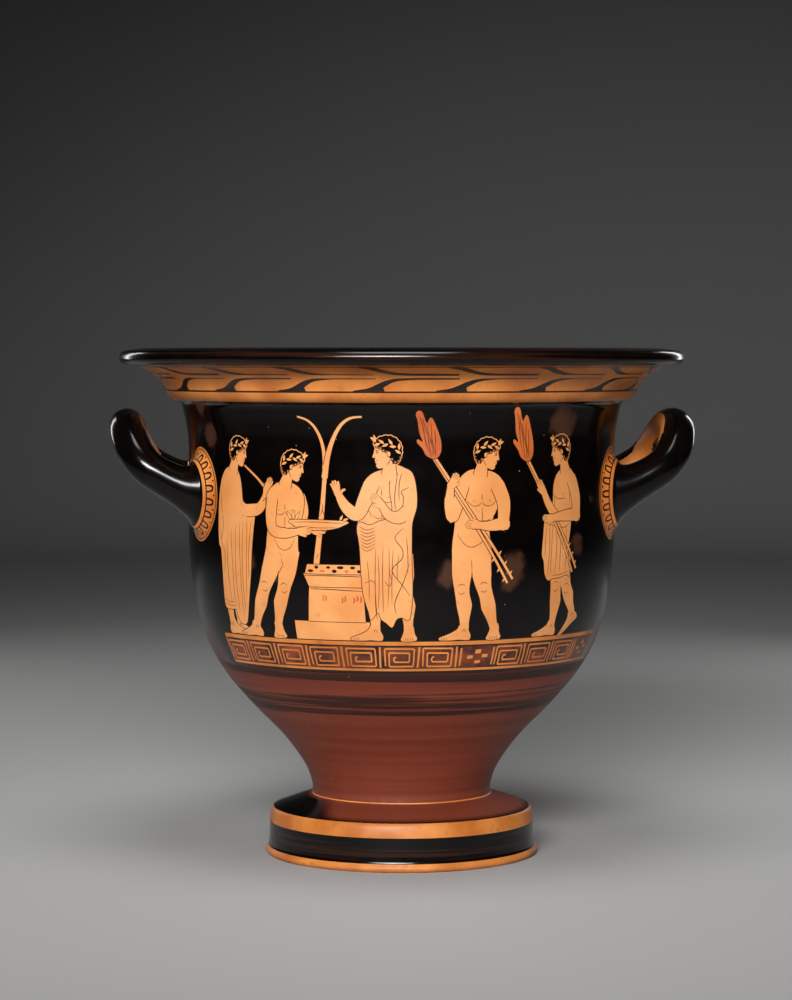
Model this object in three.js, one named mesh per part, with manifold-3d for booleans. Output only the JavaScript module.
// Bell krater: a wide wheel-thrown bowl with a flaring mouth on a low disc foot,
// with two upturned loop handles at the sides. It is one fired piece, so it is one solid.
// Millimetres, +Z up, the origin on the floor under the middle of the foot.
// The handles lie along X, and the picture side faces -Y.

import * as THREE from 'three';
import { mergeVertices } from 'three/addons/utils/BufferGeometryUtils.js';
import Module from 'manifold-3d';

// Driving dimensions, in millimetres.
const HEIGHT = 370;
const LIP_RADIUS = 206;
const LIP_ROUND = 5.2; // radius of the lip's rolled outer edge
const LIP_FALL = 1.6; // how far the lip's flat top falls towards its edge
const LIP_CREST_RADIUS = 188; // where the lip's top is highest
const MOUTH_RADIUS = 181; // inner edge of the lip
const MOULDING_RADIUS = 173; // the rounded band under the flare
const MOULDING_TOP = 341;
const MOULDING_BOTTOM = 331.4;
const SHOULDER_RADIUS = 160.6; // the wall where the moulding ends
const SHOULDER_HEIGHT = 329.4;
const WALL = 7; // thickness of the bowl's wall
const WALL_GROWTH = 4; // how much thicker it is where it meets the floor
const WALL_START = 0.1; // share of the wall's curve that lies below the inside
const FLOOR_THICKNESS = 11;
const FLOOR_REACH = 0.62; // the flat of the floor, as a share of the first point on the wall
const FLOOR_RISE = 0.25; // and the share of that point's height that the flat has risen by there
const STEM_RADIUS = 65.2;
const STEM_HEIGHT = 50; // level of the narrowest part
const FOOT_RADIUS = 100;
const FOOT_SHOULDER_RADIUS = 94;
const FOOT_HEIGHT = 34.4; // level of the foot's upper edge
const FOOT_RING_INNER = 82; // inner edge of the ring that stands on the floor
const FOOT_HOLLOW_RADIUS = 46;
const FOOT_HOLLOW_HEIGHT = 36;
const HANDLE_REACH = 200.4; // the handle's centre line at its outermost point
const HANDLE_RISE = 313.6; // the centre line's level there
const HANDLE_HALF_SPREAD = 50; // from the middle of a root to the XZ plane
const HANDLE_ROOT_HEIGHT = 266;
const HANDLE_ROOT_RADIUS = 155.5; // the wall's radius where the handle leaves it
const HANDLE_ARM = 11; // each arm goes straight out of the wall this far
const HANDLE_ARM_RISE = 4; // and rises by this much
const HANDLE_THICKNESS = 25.4;
const HANDLE_FLARE_WIDTH = 9.5; // how far the root spreads sideways on the wall
const HANDLE_FLARE_HEIGHT = 15; // and up and down
const HANDLE_FLARE_REACH = 8.5; // how quickly that spread dies away along the arm
const HANDLE_FLARE_DEPTH = 4; // it grows no wider than it is this far inside the wall
const HANDLE_TAIL = 26; // how far the arm is carried on into the wall

// How finely round things are cut into facets.
const LATHE_SEGMENTS = 52;
const HANDLE_STEPS = 36;
const HANDLE_SIDES = 16;
const ROOT_CROWDING = 0.085; // how much closer together the handle's sections lie at its roots

const glossedClay = new THREE.MeshStandardMaterial({ color: 0x15110f, roughness: 0.32, metalness: 0 });

// The outer wall from the stem up to the moulding, as radius and height.
const wallCurve = new THREE.SplineCurve([
  new THREE.Vector2(STEM_RADIUS, STEM_HEIGHT),
  new THREE.Vector2(70.6, 65),
  new THREE.Vector2(86.4, 87.2),
  new THREE.Vector2(109.6, 111),
  new THREE.Vector2(130.4, 136),
  new THREE.Vector2(144.2, 162.5),
  new THREE.Vector2(152, 194),
  new THREE.Vector2(155.5, 228),
  new THREE.Vector2(155.5, 264),
  new THREE.Vector2(155.7, 300),
  new THREE.Vector2(157.6, 316),
  new THREE.Vector2(SHOULDER_RADIUS, SHOULDER_HEIGHT),
]);

// The hollow under the foot, the foot itself and its narrow neck ring.
function footOutline() {
  const foot = new THREE.Path();
  foot.moveTo(0, FOOT_HOLLOW_HEIGHT + 3);
  foot.lineTo(FOOT_HOLLOW_RADIUS, FOOT_HOLLOW_HEIGHT);
  foot.quadraticCurveTo(FOOT_RING_INNER - 4, FOOT_HOLLOW_HEIGHT * 0.75, FOOT_RING_INNER, 0);
  foot.lineTo(FOOT_RADIUS - 2.6, 0);
  foot.lineTo(FOOT_RADIUS, 3);
  foot.quadraticCurveTo(FOOT_RADIUS - 3, 8, FOOT_RADIUS - 3.2, 23);
  foot.quadraticCurveTo(FOOT_RADIUS - 3.6, FOOT_HEIGHT - 1, FOOT_SHOULDER_RADIUS, FOOT_HEIGHT);
  foot.quadraticCurveTo(80, FOOT_HEIGHT + 5.2, STEM_RADIUS + 1.6, STEM_HEIGHT - 6.4);
  foot.lineTo(STEM_RADIUS + 0.4, STEM_HEIGHT - 5.2);
  return foot.getPoints(4);
}

// The moulding, the flare above it and the lip, up to the lip's crest.
function rimOutline() {
  const rim = new THREE.Path();
  const lipUnderside = HEIGHT - LIP_FALL - 2 * LIP_ROUND;
  const lipMiddle = LIP_RADIUS - LIP_ROUND;
  rim.moveTo(SHOULDER_RADIUS + 1.4, MOULDING_BOTTOM);
  rim.lineTo(SHOULDER_RADIUS + 4, MOULDING_BOTTOM + 0.8);
  rim.quadraticCurveTo(MOULDING_RADIUS - 2.6, MOULDING_BOTTOM + 2.6, MOULDING_RADIUS, MOULDING_TOP);
  rim.quadraticCurveTo(MOULDING_RADIUS + 5.6, MOULDING_TOP + 10.6, LIP_RADIUS - 14, lipUnderside - 0.6);
  rim.lineTo(lipMiddle, lipUnderside);
  rim.absarc(lipMiddle, lipUnderside + LIP_ROUND, LIP_ROUND, -Math.PI / 2, Math.PI * 0.42);
  rim.lineTo(LIP_CREST_RADIUS, HEIGHT);
  return rim.getPoints(3);
}

// The inside: the floor, the outer wall pushed in by the wall's thickness, which grows
// towards the floor, and the inner side of the flare up to the lip's crest.
function insideOutline() {
  const floor = STEM_HEIGHT + FLOOR_THICKNESS;
  const points = [new THREE.Vector2(0, floor)];
  const steps = 12;
  for (let i = 1; i < steps; i += 1) {
    const along = i / steps;
    const place = WALL_START + (1 - WALL_START) * along;
    const outer = wallCurve.getPointAt(place);
    const tangent = wallCurve.getTangentAt(place);
    const thickness = WALL + WALL_GROWTH * (1 - along) ** 3;
    points.push(new THREE.Vector2(outer.x - tangent.y * thickness, outer.y + tangent.x * thickness));
  }
  const lowestOnWall = points[1];
  const edgeOfFlat = new THREE.Vector2(
    lowestOnWall.x * FLOOR_REACH,
    floor + (lowestOnWall.y - floor) * FLOOR_RISE,
  );
  points.splice(1, 0, edgeOfFlat);
  const flare = new THREE.Path();
  flare.moveTo(SHOULDER_RADIUS - WALL - 1, SHOULDER_HEIGHT);
  flare.quadraticCurveTo(MOULDING_RADIUS - 7, MOULDING_TOP + 4, MOUTH_RADIUS - 3, HEIGHT - 9);
  flare.quadraticCurveTo(MOUTH_RADIUS + 1, HEIGHT - 0.4, LIP_CREST_RADIUS, HEIGHT);
  return [...points, ...flare.getPoints(3)];
}

// A closed geometry as a manifold-3d solid: only positions, shared corners merged.
function toSolid(wasm, geometry) {
  const bare = geometry.index ? geometry.toNonIndexed() : geometry.clone();
  bare.deleteAttribute('normal');
  bare.deleteAttribute('uv');
  const merged = mergeVertices(bare, 1e-4);
  const corners = Array.from(merged.index.array);
  const faces = [];
  for (let i = 0; i < corners.length; i += 3) {
    const [a, b, c] = corners.slice(i, i + 3);
    if (a !== b && b !== c && c !== a) faces.push(a, b, c);
  }
  return new wasm.Manifold(new wasm.Mesh({
    numProp: 3,
    vertProperties: new Float32Array(merged.attributes.position.array),
    triVerts: new Uint32Array(faces),
  }));
}

function toGeometry(solid) {
  const mesh = solid.getMesh();
  const geometry = new THREE.BufferGeometry();
  geometry.setAttribute('position', new THREE.BufferAttribute(mesh.vertProperties, 3));
  geometry.setIndex(new THREE.BufferAttribute(mesh.triVerts, 1));
  geometry.computeVertexNormals();
  return geometry;
}

function turned(outline) {
  return new THREE.LatheGeometry(outline, LATHE_SEGMENTS).rotateX(Math.PI / 2);
}

// The bowl and its foot as if the bowl were full to the brim.
function filledBowl() {
  const top = new THREE.Vector2(0, HEIGHT);
  return turned([...footOutline(), ...wallCurve.getSpacedPoints(20), ...rimOutline(), top]);
}

// What the bowl holds, carried on above the brim so that it cuts clear of it.
function bowlContents() {
  const above = HEIGHT + 5;
  return turned([
    ...insideOutline(), new THREE.Vector2(LIP_CREST_RADIUS, above), new THREE.Vector2(0, above),
  ]);
}

// The centre line of the handle at +X: an arm square out of the wall, the arched grip and
// the other arm.
function handleCurve() {
  const bearing = Math.asin(HANDLE_HALF_SPREAD / HANDLE_ROOT_RADIUS);
  const outOfWall = (distance, z) => {
    const radius = HANDLE_ROOT_RADIUS + distance;
    return [radius * Math.cos(bearing), radius * Math.sin(bearing), z];
  };
  const spread = HANDLE_HALF_SPREAD;
  const arm = [
    outOfWall(-HANDLE_TAIL, HANDLE_ROOT_HEIGHT - HANDLE_ARM_RISE),
    outOfWall(0, HANDLE_ROOT_HEIGHT),
    outOfWall(HANDLE_ARM, HANDLE_ROOT_HEIGHT + HANDLE_ARM_RISE),
    [HANDLE_REACH - 28.4, spread + 4, HANDLE_RISE - 36.6],
    [HANDLE_REACH - 15.7, spread + 2.5, HANDLE_RISE - 28.6],
    [HANDLE_REACH - 8.4, spread - 2, HANDLE_RISE - 20],
    [HANDLE_REACH - 3.4, spread - 11, HANDLE_RISE - 10],
    [HANDLE_REACH - 0.6, spread - 27, HANDLE_RISE - 2.2],
  ];
  const near = arm.map(([x, y, z]) => new THREE.Vector3(x, -y, z));
  const far = arm.map(([x, y, z]) => new THREE.Vector3(x, y, z)).reverse();
  return new THREE.CatmullRomCurve3([...near, new THREE.Vector3(HANDLE_REACH, 0, HANDLE_RISE), ...far]);
}

// One oval section of the handle, which flares where an arm joins the wall.
function handleSection(curve, t) {
  const up = new THREE.Vector3(0, 0, 1);
  const centre = curve.getPointAt(t);
  const tangent = curve.getTangentAt(t);
  const offWall = Math.hypot(centre.x, centre.y) - HANDLE_ROOT_RADIUS;
  const flare = Math.exp(-Math.max(-HANDLE_FLARE_DEPTH, offWall) / HANDLE_FLARE_REACH);
  const sideways = new THREE.Vector3().crossVectors(tangent, up).normalize();
  const upright = new THREE.Vector3().crossVectors(sideways, tangent).lerp(up, Math.min(1, flare));
  const halfWidth = HANDLE_THICKNESS / 2 + HANDLE_FLARE_WIDTH * flare;
  const halfHeight = HANDLE_THICKNESS / 2 + HANDLE_FLARE_HEIGHT * flare;
  const corners = [];
  for (let side = 0; side < HANDLE_SIDES; side += 1) {
    const angle = (2 * Math.PI * side) / HANDLE_SIDES;
    corners.push(centre.clone()
      .addScaledVector(sideways, halfWidth * Math.cos(angle))
      .addScaledVector(upright, halfHeight * Math.sin(angle)));
  }
  return corners;
}

// The sections joined into a closed tube. They lie closer together near the two roots.
function handleGeometry() {
  const curve = handleCurve();
  const positions = [];
  const faces = [];
  for (let step = 0; step <= HANDLE_STEPS; step += 1) {
    const s = step / HANDLE_STEPS;
    const corners = handleSection(curve, s - ROOT_CROWDING * Math.sin(2 * Math.PI * s));
    const row = step * HANDLE_SIDES;
    corners.forEach((corner, side) => {
      positions.push(corner.x, corner.y, corner.z);
      const next = (side + 1) % HANDLE_SIDES;
      if (step < HANDLE_STEPS) {
        faces.push(row + side, row + HANDLE_SIDES + side, row + next);
        faces.push(row + next, row + HANDLE_SIDES + side, row + HANDLE_SIDES + next);
      }
    });
  }
  const lastRow = HANDLE_STEPS * HANDLE_SIDES;
  for (let side = 1; side < HANDLE_SIDES - 1; side += 1) {
    faces.push(0, side, side + 1);
    faces.push(lastRow, lastRow + side + 1, lastRow + side);
  }
  const geometry = new THREE.BufferGeometry();
  geometry.setAttribute('position', new THREE.Float32BufferAttribute(positions, 3));
  geometry.setIndex(faces);
  return geometry;
}

const wasm = await Module();
wasm.setup();

const handle = handleGeometry();
const oppositeHandle = handle.clone().rotateZ(Math.PI);
const filledKrater = toSolid(wasm, filledBowl())
  .add(toSolid(wasm, handle))
  .add(toSolid(wasm, oppositeHandle));
const krater = new THREE.Mesh(
  toGeometry(filledKrater.subtract(toSolid(wasm, bowlContents()))),
  glossedClay,
);
krater.name = 'krater';

const group = new THREE.Group();
group.add(krater);

export default group;
